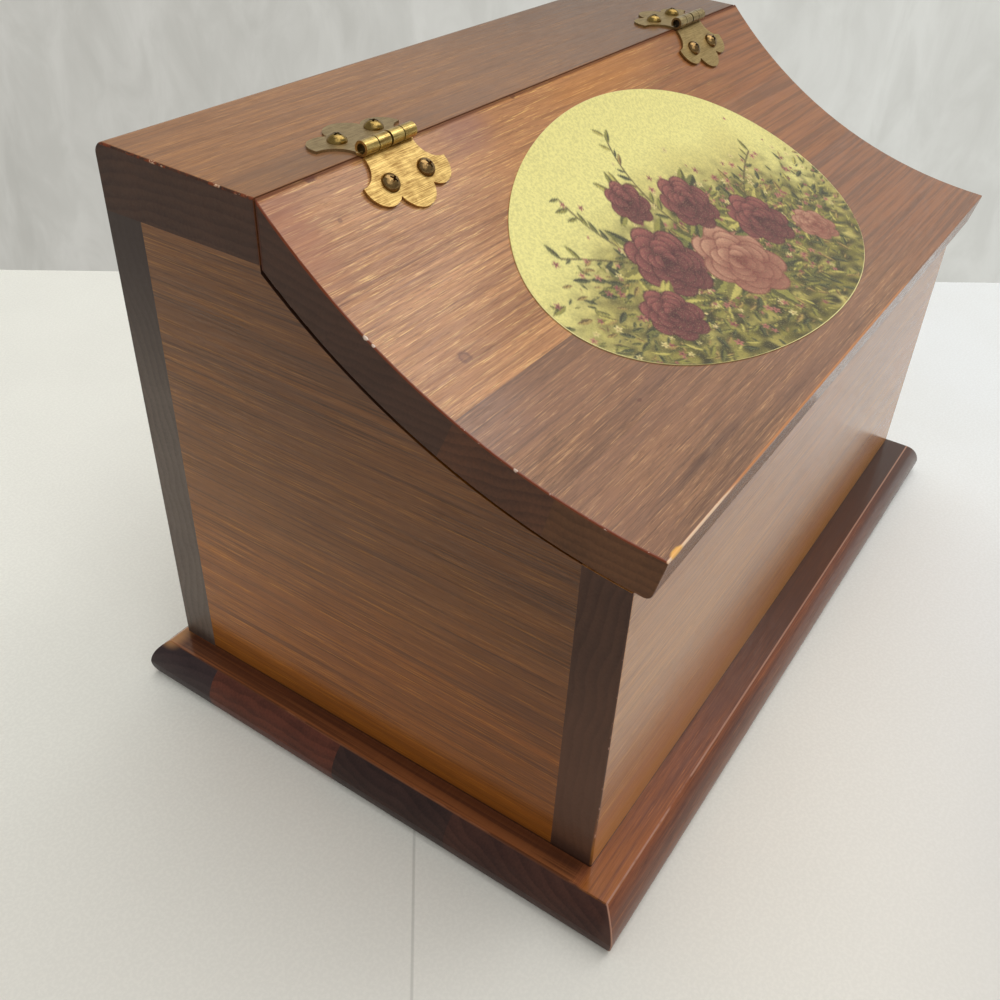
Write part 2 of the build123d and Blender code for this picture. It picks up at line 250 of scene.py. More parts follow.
def on_lid(from_left, from_front):
    """Point on the lid's hollow face."""
    y = LID_FRONT + from_front
    return LID_LEFT + from_left, y, lid_height(y)


def away_in_radii(s, mm, place, radii):
    """Distance from a place, counted in the radii given for the three axes."""
    scale = [1 / radius for radius in radii]
    return s.vector_math("LENGTH", s.scaled(mm, scale, [-at / radius for at, radius in zip(place, radii)]))


def away_from(along, *place):
    """Distance from a straight line along one axis."""
    return lambda s, mm: s.away_from_line(mm, along, place)


def away_from_lid_edge(s, mm):
    """Distance from the lid's curved left upper edge."""
    from_axis = s.away_from_line(mm, "X", (CURVE_Y, CURVE_Z))
    inward = s.minus(s.axes(mm)["X"], LID_LEFT)
    return s.vector_math("LENGTH", s.paired(inward, s.minus(from_axis, LID_RADIUS)))


def away_from_top_edge(s, mm):
    """Distance from the top board's left upper edge, which rises a little to the back."""
    parts = s.axes(mm)
    inward = s.minus(parts["X"], BODY_LEFT)
    height = s.step(parts["Y"], TOP_FRONT, BODY_BACK, LID_BACK_Z, TOP_Z, smooth=False)
    return s.vector_math("LENGTH", s.paired(inward, s.minus(parts["Z"], height)))


def away_from_mitre(s, mm):
    """Distance from the corner line that runs down the base's moulded edge, front left."""
    parts = s.axes(mm)
    inward = s.minus(parts["X"], BASE_LEFT)
    back = s.minus(parts["Y"], BASE_FRONT)
    beyond = s.math("MAXIMUM", s.minus(inward, CREASE_LEFT - BASE_LEFT), 0.0)
    return s.plus(s.math("ABSOLUTE", s.minus(inward, back)), s.times(beyond, MITRE_FADE))


def away_from_joint(s, mm):
    """Distance from the joint between lid and top board, measured across it."""
    return s.math("ABSOLUTE", s.minus(s.axes(mm)["Y"], LID_BACK))


def up_to(limit, away):
    """The same distance, growing beyond a limit on X, so that a line of wear or of painted highlight fades
    out past it.
    """
    def measured(s, mm):
        beyond = s.times(s.minus(s.axes(mm)["X"], limit), LINE_FADE)
        return s.plus(away(s, mm), s.math("MAXIMUM", beyond, 0.0))
    return measured


# Faces that a mark can be kept to: an axis, and the two places on it between which the mark sets in

ON_FRONT = ("Y", BODY_FRONT + 1.0, BODY_FRONT + 0.3)
ON_LEFT_END = ("X", BODY_LEFT + 1.0, BODY_LEFT + 0.3)
ON_BASE_TOP = ("Z", BASE_TOP - 0.5, BASE_TOP - 0.1)


def kept_to(s, parts, face):
    axis, start, end = face
    return s.step(parts[axis], start, end)


# Marks on the wood: each maker returns a function that lays its mark over a board's colour

def wear_and_highlight_line(tone, width, cover, away, length=14):
    """Line of rubbed-off finish, or of painted highlight along a rounded edge; cover is the share of it
    that is marked, away its distance, and length about how long its breaks are."""
    def lay(s, mm, colour):
        ragged = s.noise(s.scaled(mm, 1 / length), detail=4, roughness=0.7)
        marked = s.step(ragged, 0.62 - 0.4 * cover, 0.72 - 0.4 * cover)
        near = s.step(away(s, mm), width, width * 0.5)
        return s.mix(s.times(marked, near), colour, tone)
    return lay


def glow(tone, place, radii, amount, end=None):
    """Soft-edged patch that lets the grain through; end is the X of a left end face that it spares."""
    def lay(s, mm, colour):
        mask = s.step(away_in_radii(s, mm, place, radii), 1.0, 0.2, 0.0, amount)
        if end is not None:
            mask = s.times(mask, s.step(s.axes(mm)["X"], end + 0.3, end + 0.8))
        return s.mix(mask, colour, tone)
    return lay


def spot(tone, place, radii, amount=0.8, middle=1.0, ragged=0.9):
    """Roundish mark; a middle below 1 leaves a paler centre, as in a knot."""
    def lay(s, mm, colour):
        uneven = s.times(s.minus(s.noise(s.scaled(mm, 0.9), detail=3), 0.5), ragged)
        away = s.plus(away_in_radii(s, mm, place, radii), uneven)
        core = s.times(s.step(away, 0.6, 0.3), 1.0 - middle)
        return s.mix(s.times(s.minus(s.step(away, 1.0, 0.55), core), amount), colour, tone)
    return lay


def specks(tone, spacing, size, amount=0.8):
    """Small dark specks, scattered."""
    def lay(s, mm, colour):
        cells = s.node("TexVoronoi", {"Vector": s.scaled(mm, 1 / spacing), "Scale": 1.0})
        near = s.step(cells.outputs["Distance"], size / spacing, 0.4 * size / spacing)
        some = s.step(s.node("SeparateColor", {"Color": cells.outputs["Color"]}).outputs[0], 0.55, 0.6)
        return s.mix(s.times(near, some, amount), colour, tone)
    return lay


def wash(tone, axis, start, end, amount, only=None, blend="MIX"):
    """Slow change of colour from start to end along one axis; only is the face that it is kept to."""
    def lay(s, mm, colour):
        parts = s.axes(mm)
        mask = s.step(parts[axis], start, end, 0.0, amount)
        if only:
            mask = s.times(mask, kept_to(s, parts, only))
        return s.mix(mask, colour, tone, blend=blend)
    return lay


def tint(tone, axis, start, end):
    """Slow darkening or brightening that keeps the grain; 255 leaves a channel as it is."""
    return wash(tone, axis, start, end, 1.0, blend="MULTIPLY")


def mirrored_panel(s, mm, colour):
    """Bands along the base's left strip, where its varnish mirrors the panel that stands on it."""
    parts = s.axes(mm)
    outward = s.step(parts["X"], BODY_LEFT - 1.0, CREASE_LEFT)
    streaks = s.noise(s.scaled(mm, (0.8, 1 / 90, 0.8)), detail=3)
    tone = s.mix(outward, (84, 44, 20), (140, 84, 46))
    tone = s.mix(s.step(streaks, 0.42, 0.60, 0.0, 0.7), tone, (60, 30, 16))
    strip = s.times(
        s.step(parts["X"], BODY_LEFT + 0.5, BODY_LEFT - 0.5, 0.0, 0.9),
        kept_to(s, parts, ON_BASE_TOP),
        s.step(parts["Y"], BODY_FRONT - 2.0, BODY_FRONT + 5.0),
    )
    return s.mix(strip, colour, tone)


def mirrored_front(s, mm, colour):
    """Amber streaks along the grain at the front left of the base, fading to the right: a painted
    reflection of the front board in the base's varnish.
    """
    parts = s.axes(mm)
    streaks = s.noise(s.scaled(mm, (1 / 60, 0.8, 0.8)), detail=3)
    mask = s.times(
        s.step(streaks, 0.36, 0.60, 0.2, 1.0),
        s.step(parts["X"], BASE_LEFT + 80, BASE_LEFT + 16),
        s.step(parts["Y"], BODY_FRONT + 1.0, BODY_FRONT - 2.0, 0.0, 0.5),
        s.step(parts["X"], BASE_LEFT + 2, CREASE_LEFT + 1),
        kept_to(s, parts, ON_BASE_TOP),
    )
    return s.mix(mask, colour, (168, 98, 26))


def lid_shade_to_right(s, mm, colour):
    """Towards the right the lid's boards meet in one brown, up to the end grain: painted shade, where the
    varnish shows less sheen than at the left.
    """
    across = s.axes(mm)["X"]
    streaks = s.noise(s.scaled(mm, (1 / 80, 0.6, 0.6)), detail=4, roughness=0.65)
    tone = s.mix(s.step(streaks, 0.36, 0.64), (112, 66, 34), (152, 92, 49))
    short_of_end = s.step(across, LID_RIGHT - 0.3, LID_RIGHT - 0.7)
    return s.mix(s.times(s.step(across, 0, 130, 0.0, 0.88), short_of_end), colour, tone)


# Wood

RING_SPACING = 3.4
RING_WARP = 9.0
SEED_SHIFT = (731.0, 57.0, 23.0)


def along_grain(s, mm, along, shift):
    """Place with its X along the grain, shifted so that no two boards have the same figure."""
    parts = s.axes(mm)
    across = "Y" if along == "X" else "X"
    grain = s.node("CombineXYZ", {"X": parts[along], "Y": parts[across], "Z": parts["Z"]}).outputs[0]
    return s.vector_math("ADD", grain, shift)


def drawn_out(s, grain, length, width, offset=0.0, detail=3, roughness=0.55):
    """Noise drawn out along the grain; the offset keeps one pattern apart from another."""
    place = s.scaled(grain, (1 / length, 1 / width, 1 / width), (offset, offset, offset))
    return s.noise(place, detail=detail, roughness=roughness)


def growth_rings(s, grain, shift, pith):
    """Growth rings about the pith line, bent a little by slow noise: 0 where a year's wood begins,
    and 1 in its late wood."""
    warp = drawn_out(s, grain, 200, 30, detail=2)
    from_pith = s.scaled(grain, (0, 1, 1), (0, -shift[1] - pith[0], -shift[2] - pith[1]))
    radius = s.plus(s.vector_math("LENGTH", from_pith), s.times(warp, RING_WARP))
    year = s.math("FRACT", s.math("DIVIDE", radius, RING_SPACING))
    return s.minus(s.step(year, 0.0, 0.75), s.step(year, 0.88, 1.0))


def grain_patterns(s, grain, stretch):
    """Streaks, dashes and pores along the grain; stretch lengthens the marks of the finer ones."""
    return dict(
        broad=drawn_out(s, grain, 240, 7, 1.7),
        cloud=drawn_out(s, grain, 110, 42, 17.9),
        streaks=drawn_out(s, grain, 70 * stretch, 1.5, 5.3, detail=4, roughness=0.65),
        thin=drawn_out(s, grain, 34 * stretch, 0.55, 21.3, roughness=0.6),
        dashes=drawn_out(s, grain, 10 * stretch, 0.4, 9.1, roughness=0.65),
        fine=drawn_out(s, grain, 8 * stretch, 0.34, 7.7, roughness=0.7),
        pores=drawn_out(s, grain, 5, 0.3, 12.7, detail=2, roughness=0.6),
    )


def long_grain(s, figure, rings, light, dark, gold, haze, lines):
    """Colour of the faces that run along the grain."""
    tone = s.plus(
        s.times(s.step(figure["broad"], 0.34, 0.66), 0.26),
        s.times(s.step(figure["streaks"], 0.38, 0.62), 0.36),
        s.times(s.step(figure["fine"], 0.36, 0.64), 0.26),
        s.times(rings, 0.12),
    )
    colour = s.mix(tone, dark, light)
    colour = s.mix(s.step(figure["cloud"], 0.42, 0.62, 0.0, 0.6), colour, haze)
    golden = s.times(
        s.step(figure["dashes"], 0.52, 0.68),
        s.step(figure["streaks"], 0.42, 0.60, 0.15, 0.85),
    )
    colour = s.mix(golden, colour, gold)
    colour = s.mix(s.step(figure["thin"], 0.48, 0.38, 0.0, lines), colour, darker(dark, 0.8))
    return s.mix(s.step(figure["pores"], 0.42, 0.30, 0.0, 0.4), colour, darker(dark, 0.62))


def end_grain(s, grain, rings, light, dark):
    """Colour of the ends."""
    specked = s.noise(s.scaled(grain, 1.2), detail=2)
    cloudy = s.noise(s.scaled(grain, 1 / 22), detail=3)
    tone = s.plus(
        s.times(rings, 0.4),
        s.times(s.step(specked, 0.3, 0.7), 0.3),
        s.times(s.step(cloudy, 0.35, 0.65), 0.3),
    )
    return s.mix(tone, dark, light)


def wood(name, along, seed, light, dark, gold, haze, end_light, end_dark, pith, marks=(), coat=0.6,
         coat_roughness=0.15, stretch=1.0, lines=0.35, dull_by=None):
    """Stained and varnished solid wood: streaks along the grain, and rings about a pith line that
    show as faint lines on the ends. Lengths are millimetres; stretch lengthens the streaks, lines is
    the strength of the thin dark ones, and dull_by gives the distance from a place where the varnish
    has no shine."""
    s = Shader(name)
    mm = s.millimetres()
    shift = [seed * amount for amount in SEED_SHIFT]
    grain = along_grain(s, mm, along, shift)
    rings = growth_rings(s, grain, shift, pith)
    figure = grain_patterns(s, grain, stretch)
    facing = s.axes(s.node("TexCoord").outputs["Normal"])
    at_end = s.step(s.math("ABSOLUTE", facing[along]), 0.35, 0.5)

    face = long_grain(s, figure, rings, light, dark, gold, haze, lines)
    colour = s.mix(at_end, face, end_grain(s, grain, rings, end_light, end_dark))
    for lay in marks:
        colour = lay(s, mm, colour)

    relief = s.plus(s.times(figure["fine"], 0.5), s.times(figure["pores"], 0.5))
    swells = s.noise(s.scaled(grain, 1 / 34), detail=1)
    skin = s.plus(swells, s.times(figure["streaks"], 0.25), s.times(figure["fine"], 0.08))
    shine = s.times(s.step(at_end, 0.0, 1.0, coat, 0.2), s.step(figure["fine"], 0.36, 0.64, 0.72, 1.2))
    if dull_by:
        shine = s.times(shine, s.step(dull_by(s, mm), 0.4, 1.4))
    return s.surface(
        base_color=colour,
        roughness=s.step(figure["streaks"], 0.2, 0.8, 0.45, 0.58),
        specular_ior_level=0.15,
        normal=s.bump(relief, 0.0001, 0.3),
        coat_weight=shine,
        coat_roughness=coat_roughness,
        coat_normal=s.bump(skin, 0.0004, 0.25),
    )


def dress(material, *names):
    """Give a material to CAD nodes."""
    for name in names:
        for slot in nodes[name].material_slots:
            slot.material = material


BARE = (232, 170, 78)
# Pale tone of bare wood at chips, also laid as painted highlight on rounded edges
PALE_WEAR_AND_HIGHLIGHT = (236, 216, 196)
# Pale tone of painted highlight on rounded edges, with some rubbed finish
CORNER_WEAR_AND_HIGHLIGHT = (226, 190, 156)
PINK_WEAR = (206, 158, 136)
# Tone of worn edges with painted highlight, on the base's crease and mitre
DULL_WEAR_AND_HIGHLIGHT = (168, 122, 100)
DARK_WEAR = (136, 84, 54)
TAN_WEAR = (190, 122, 68)
RUST_WEAR = (120, 56, 26)
DENT = (92, 48, 32)
KNOT = (106, 60, 38)
SPECK = (70, 38, 26)
# Painted shade in the gap between lid and top board
JOINT_SHADE = (84, 40, 22)
# Painted shade at the foot of the walls, where they stand on the base
FOOT_SHADE = (48, 24, 12)

ENDS = dict(end_light=(78, 50, 36), end_dark=(54, 32, 22))
LOWER_ENDS = dict(end_light=(98, 60, 38), end_dark=(66, 38, 24))
PALE_ENDS = dict(end_light=(114, 100, 90), end_dark=(92, 80, 72))
WARM_ENDS = dict(end_light=(104, 66, 38), end_dark=(74, 44, 22))
LID_UPPER = dict(light=(204, 144, 90), dark=(119, 70, 38), gold=(234, 191, 122), haze=(180, 127, 86))
LID_LOWER = dict(light=(165, 116, 78), dark=(89, 58, 42), gold=(192, 144, 100), haze=(136, 94, 70))
TOP = dict(light=(171, 116, 66), dark=(118, 74, 40), gold=(192, 136, 76), haze=(142, 96, 58))
SIDE = dict(light=(142, 86, 28), dark=(90, 51, 14), gold=(166, 110, 38), haze=(115, 68, 24))
FRONT = dict(light=(204, 142, 80), dark=(142, 89, 48), gold=(218, 158, 88), haze=(182, 120, 70))
BACK = dict(light=(146, 92, 52), dark=(96, 56, 32), gold=(176, 118, 62), haze=(118, 74, 46))
BASE = dict(light=(152, 86, 48), dark=(92, 46, 28), gold=(178, 106, 54), haze=(124, 66, 42))

# Painted shade: a dark line along the foot of the walls
FOOT_SHADE_LINE = wash(FOOT_SHADE, "Z", BASE_TOP + 1.5, BASE_TOP + 0.5, 0.85)
LID_EDGE_WEAR = wear_and_highlight_line(RUST_WEAR, 0.7, 0.9, away_from_lid_edge)
# Pale glints along the lower lid boards' left edge: painted highlight on the rounded edge
LID_EDGE_HIGHLIGHTS = wear_and_highlight_line(PALE_WEAR_AND_HIGHLIGHT, 0.5, 0.06, away_from_lid_edge, length=3)
LID_FRONT_EDGE = away_from("X", LID_FRONT, LID_FRONT_Z)

dress(
    wood("wood_lid_back", "X", 1, pith=(-30, 460), marks=[
        # Painted shade: from the middle to the right the lid turns warmer, and browner still towards its
        # right end, where its varnish shows less sheen
        tint((252, 244, 222), "X", -100, -30), lid_shade_to_right, LID_EDGE_WEAR,
        glow((150, 84, 52), on_lid(4, 122), (15, 26, 26), 0.5, end=LID_LEFT),
        glow((138, 92, 82), on_lid(91, 127), (20, 13, 13), 0.5),
        glow((196, 128, 54), on_lid(180, 126), (66, 11, 11), 0.4),
        # Painted shade in the joint with the top board
        wash(JOINT_SHADE, "Y", LID_BACK - 0.9, LID_BACK - 0.4, 0.7),
        spot(DENT, on_lid(21.2, 130.2), (3.2, 1.5, 1.5), 0.8),
        spot(DENT, on_lid(123.3, 130.2), (2.0, 1.2, 1.2), 0.6),
        spot(DENT, on_lid(21.2, 120.0), (1.2, 0.9, 0.9), 0.5),
    ], coat=0.6, dull_by=away_from_joint, **LID_UPPER, **ENDS),
    "lid_back_board",
)
dress(
    wood("wood_lid_rear", "X", 2, pith=(-10, 480), marks=[
        lid_shade_to_right, LID_EDGE_WEAR,
        spot(PALE_WEAR_AND_HIGHLIGHT, on_lid(0.2, 94.2), (0.6, 1.1, 1.0), 0.8),
        spot(PALE_WEAR_AND_HIGHLIGHT, on_lid(0.2, 91.6), (0.5, 0.7, 0.7), 0.7),
        spot(KNOT, on_lid(21.7, 77.1), (3.2, 2.4, 2.4), 0.8, middle=0.5),
    ], coat=0.7, **LID_UPPER, **ENDS),
    "lid_rear_middle_board",
)
dress(
    wood("wood_lid_front_middle", "X", 3, pith=(20, 450), marks=[
        lid_shade_to_right, LID_EDGE_WEAR, LID_EDGE_HIGHLIGHTS,
        spot(PALE_WEAR_AND_HIGHLIGHT, on_lid(0.2, 45.3), (0.5, 0.9, 0.9), 0.6),
        spot(DENT, on_lid(54.1, 37.3), (1.3, 0.9, 0.9), 0.6),
    ], coat=0.85, **LID_LOWER, **LOWER_ENDS),
    "lid_front_middle_board",
)
dress(
    wood("wood_lid_front", "X", 4, pith=(-40, -360), marks=[
        lid_shade_to_right, LID_EDGE_WEAR, LID_EDGE_HIGHLIGHTS,
        wear_and_highlight_line(TAN_WEAR, 0.8, 0.75, up_to(LID_LEFT + 190, LID_FRONT_EDGE), length=40),
        # Pale band near the front edge's left corner: painted highlight on the rounded edge
        wear_and_highlight_line(CORNER_WEAR_AND_HIGHLIGHT, 0.7, 0.85, up_to(LID_LEFT + 30, LID_FRONT_EDGE), length=4),
        spot(BARE, on_lid(5.0, 0.0), (4.0, 1.6, 2.0), 0.95, ragged=0.3),
    ], coat=0.85, coat_roughness=0.2, **LID_LOWER, **WARM_ENDS),
    "lid_front_board",
)
dress(
    wood("wood_top", "X", 5, pith=(40, -360), marks=[
        # Painted shade: the top board darkens to the right, where its varnish shows less sheen
        tint((182, 172, 150), "X", -90, 130),
        wear_and_highlight_line(RUST_WEAR, 0.8, 0.35, away_from_top_edge, length=6),
        # Broken pale line on the top board's left upper edge: painted highlight
        wear_and_highlight_line(CORNER_WEAR_AND_HIGHLIGHT, 0.7, 0.1, away_from_top_edge, length=4),
        glow((104, 74, 52), (BODY_LEFT + 44, TOP_FRONT + 7, TOP_Z), (70, 13, 13), 0.6, end=BODY_LEFT),
        glow((100, 72, 60), (BODY_LEFT + 104, TOP_FRONT + 8, TOP_Z), (40, 12, 12), 0.35),
        # Painted shade in the joint with the lid
        wash(JOINT_SHADE, "Y", TOP_FRONT + 0.5, TOP_FRONT + 0.1, 0.65),
    ], dull_by=away_from_joint, **TOP, **ENDS),
    "top_board",
)
dress(
    wood("wood_side", "Y", 6, pith=(-600, 50), marks=[
        # Towards the foot an amber band, partly the wood's own colour and partly a painted reflection of
        # the base. The panels also turn darker at the top, darker and warmer to the front, and lighter and
        # cooler to the back.
        tint((224, 222, 226), "Z", 95, 165), tint((300, 286, 252), "Z", 105, 50),
        tint((228, 222, 208), "Y", 10, -80), tint((286, 292, 302), "Y", 10, 85),
        wash((144, 82, 20), "Z", 42, 20, 0.35), specks(SPECK, 26, 0.7), FOOT_SHADE_LINE,
    ], stretch=2.0, lines=0.6, **SIDE, **ENDS),
    "left_side_panel", "right_side_panel",
)
dress(
    wood("wood_front", "X", 7, pith=(-500, 60), marks=[
        # Painted reflection of the base: the front face turns amber towards its foot
        wash((172, 102, 44), "Z", BASE_TOP + 32, BASE_TOP + 16, 0.45, only=ON_FRONT),
        wash((190, 122, 26), "Z", BASE_TOP + 18, BASE_TOP + 5, 0.75, only=ON_FRONT),
        wash((116, 80, 60), "Z", 130, 50, 0.4, only=ON_LEFT_END),
        # Painted shade: the front board's left end darkens at its foot
        wash((40, 26, 24), "Z", BASE_TOP + 10, BASE_TOP + 2, 0.6, only=ON_LEFT_END),
        specks(SPECK, 17, 0.6), FOOT_SHADE_LINE,
        wear_and_highlight_line(PINK_WEAR, 0.5, 0.1, away_from("Z", BODY_LEFT, BODY_FRONT), length=5),
    ], coat=1.0, coat_roughness=0.2, stretch=2.0, **FRONT, **ENDS),
    "front_board",
)
dress(
    wood("wood_back", "X", 8, pith=(600, 60), marks=[
        wash((54, 40, 36), "Z", 105, 190, 0.9, only=ON_LEFT_END),
        # Painted shade at the back board's foot
        wash(FOOT_SHADE, "Z", BASE_TOP + 8, BASE_TOP + 1, 0.6),
        wash((72, 48, 36), "X", BODY_RIGHT - 1.0, BODY_RIGHT - 0.3, 0.85),
    ], **BACK, **PALE_ENDS),
    "back_board",
)

BASE_ENDS = {
    "base_back_board": dict(end_light=(62, 46, 46), end_dark=(44, 32, 34)),
    "base_rear_middle_board": dict(end_light=(104, 54, 38), end_dark=(66, 32, 22)),
    "base_front_middle_board": dict(end_light=(62, 40, 34), end_dark=(40, 24, 22)),
    "base_front_board": dict(end_light=(74, 44, 34), end_dark=(48, 26, 22)),
}
BASE_MARKS = [
    wash((68, 38, 24), "X", -130, 10, 0.85, only=ON_BASE_TOP),
    wash((58, 33, 24), "X", 30, 150, 0.75),
    mirrored_panel,
    # Painted sheen: the moulded front edge turns grey-brown
    wash((84, 58, 50), "Y", CREASE_FRONT, BASE_FRONT + 3, 0.5),
    mirrored_front,
    # Painted highlight: pale tan on the base's top at the back left corner
    glow((206, 150, 96), (BASE_LEFT + 9, BODY_BACK + 2, BASE_TOP), (13, 8, 3), 0.6),
    # Pale lines along the front crease and down the mitre: worn edges with painted highlight
    wear_and_highlight_line(DULL_WEAR_AND_HIGHLIGHT, 0.45, 0.8, away_from("X", CREASE_FRONT, BASE_TOP), length=30),
    wear_and_highlight_line(DARK_WEAR, 0.35, 0.35, away_from("Y", CREASE_LEFT, BASE_TOP), length=30),
    wear_and_highlight_line(DULL_WEAR_AND_HIGHLIGHT, 0.5, 0.7, away_from_mitre, length=8),
]
for index, (name, ends) in enumerate(BASE_ENDS.items()):
    pith = (30 * index, -400)
    dress(wood("wood_" + name, "X", 9 + index, pith=pith, marks=BASE_MARKS, coat=0.8, **BASE, **ends), name)


# Metal: a hinge leaf is brighter where it is rolled, within a reach of the pin's middle line

ROLL_REACH = 2.5


def metal(name, colour, dark, roughness, seed, rolled=None):
    """Brushed and tarnished metal; rolled is the pair of colours of a hinge leaf's rolled knuckles."""
    s = Shader(name)
    mm = s.millimetres()
    apart = s.scaled(mm, 1, (seed * 71.0, seed * 33.0, seed * 19.0))
    brushed = s.noise(s.scaled(apart, (1 / 8, 3.0, 3.0)), detail=4, roughness=0.7)
    tarnish = s.noise(s.scaled(apart, 1 / 5), detail=4, roughness=0.65)
    pits = s.noise(s.scaled(apart, 2.2), detail=2)
    tone = s.plus(s.times(s.step(brushed, 0.36, 0.64), 0.68), s.times(s.step(tarnish, 0.38, 0.62), 0.32))
    shade = s.mix(tone, dark, colour)
    dulled = s.step(brushed, 0.2, 0.8, roughness + 0.12, roughness)
    if rolled:
        barrel = s.step(s.away_from_line(mm, "X", PIN_MIDDLE.yz), ROLL_REACH + 0.3, ROLL_REACH)
        shade = s.mix(barrel, shade, s.mix(tone, *rolled))
        dulled = s.minus(dulled, s.times(barrel, 0.16))
    shade = s.mix(s.step(pits, 0.66, 0.74, 0.0, 0.25), shade, darker(dark, 0.5))
    return s.surface(
        base_color=shade,
        metallic=1.0,
        roughness=dulled,
        normal=s.bump(brushed, 0.00006, 0.35),
    )


BRASS_ROLL = ((138, 104, 48), (244, 216, 136))
OLD_ROLL = ((128, 106, 68), (190, 168, 116))
brass = metal("brass_bright", (222, 190, 120), (138, 102, 54), 0.36, 1, rolled=BRASS_ROLL)
plate_brass = metal("brass_olive", (178, 156, 116), (136, 116, 82), 0.4, 6, rolled=BRASS_ROLL)
old_brass = metal("brass_dull", (172, 148, 98), (134, 112, 70), 0.4, 2, rolled=OLD_ROLL)
screw_brass = metal("screw_brass", (160, 134, 76), (112, 88, 46), 0.2, 3)
bronze = metal("screw_bronze", (158, 130, 84), (116, 88, 54), 0.15, 5)
steel = metal("steel_pin", (84, 76, 66), (44, 38, 32), 0.35, 4)
dress(plate_brass, "left_hinge_top_leaf")
dress(brass, "left_hinge_lid_leaf")
dress(old_brass, "right_hinge_top_leaf", "right_hinge_lid_leaf")
dress(steel, "left_hinge_pin", "right_hinge_pin", "base_screws", "finishing_nails")
dress(screw_brass, "hinge_screws_top")
dress(bronze, "hinge_screws_lid")


# Picture: a generic spray of roses, painted as colours on a fine mesh just above the paper

ART_RIM = 0.35
ART_LIFT = 0.03
ART_CELLS = (330, 205)
PAINT_SEED = 41
WAVE_COUNT = 24
WAVE_REACH = 6
SPRAY_FOOT = -34
STEM_WIDTH = 0.6
STEM_LEAVES = 14
LEAF_LAYERS = [(1700, (62, 24), 2.0, 4.5), (900, (46, 22), 4.0, 8.0)]
LEAF_MIDDLE = (0, -18)
LEAF_TOP = 6
LEAF_TOP_SWELL = 7
LEAF_TOP_PACE = 14
BLOSSOM_COUNT = 420
BLOSSOM_MIDDLE = (0, -12)
BLOSSOM_SPREAD = (48, 18)
BLOSSOM_PETALS = 5
ROSE_RINGS = 5
ROSE_LEAVES = 6

GROUND_PALE = (234, 224, 142)
GROUND_TAN = (200, 182, 106)
WASH_OLIVE = (134, 124, 58)
WASH_DARK = (70, 64, 36)
STEM_TONE = (84, 72, 42)
LEAF_TONES = [
    ((148, 142, 70), (92, 88, 48)), ((114, 112, 60), (66, 66, 42)), ((196, 182, 98), (126, 118, 60)),
    ((88, 90, 58), (58, 58, 40)), ((172, 146, 84), (108, 86, 52)),
]
ROSE_TONES = [
    ((196, 132, 116), (98, 48, 48)), ((172, 102, 92), (82, 40, 42)), ((212, 164, 132), (130, 74, 62)),
]
BLOSSOM_TONES = [
    ((184, 116, 104), (104, 52, 50)), ((224, 206, 142), (156, 122, 58)), ((154, 88, 84), (84, 42, 44)),
]
ROSES = [
    (-34, -6, 15), (-4, -22, 17), (30, -14, 13), (6, 8, 12), (-58, -22, 11), (52, -30, 9), (-22, 20, 9),
]
STEMS = [
    ((0, -40), (30, 0), (70, 12)), ((0, -40), (-40, 0), (-74, 16)), ((-4, -30), (-18, 20), (-4, 46)),
    ((10, -36), (50, -10), (78, -22)), ((-6, -30), (-50, -10), (-52, 34)),
]


def waves(u, v, size, seed):
    """Smooth uneven pattern, about -1 to 1, with swells of the given size."""
    random = np.random.default_rng(seed)
    total = np.zeros_like(u)
    for _ in range(WAVE_COUNT):
        turn, phase = random.uniform(0, 2 * math.pi, 2)
        pace = 2 * math.pi / (size * random.uniform(0.6, 1.8))
        total += np.sin(pace * (u * math.cos(turn) + v * math.sin(turn)) + phase)
    return total / WAVE_REACH


def curve_point(start, bend, end, share):
    """Point on the curve from start to end that bends towards a third point."""
    rest = 1 - share
    return [rest**2 * a + 2 * share * rest * b + share**2 * c for a, b, c in zip(start, bend, end)]


def pick(random, choices):
    """One of the choices, at random."""
    return choices[random.integers(len(choices))]


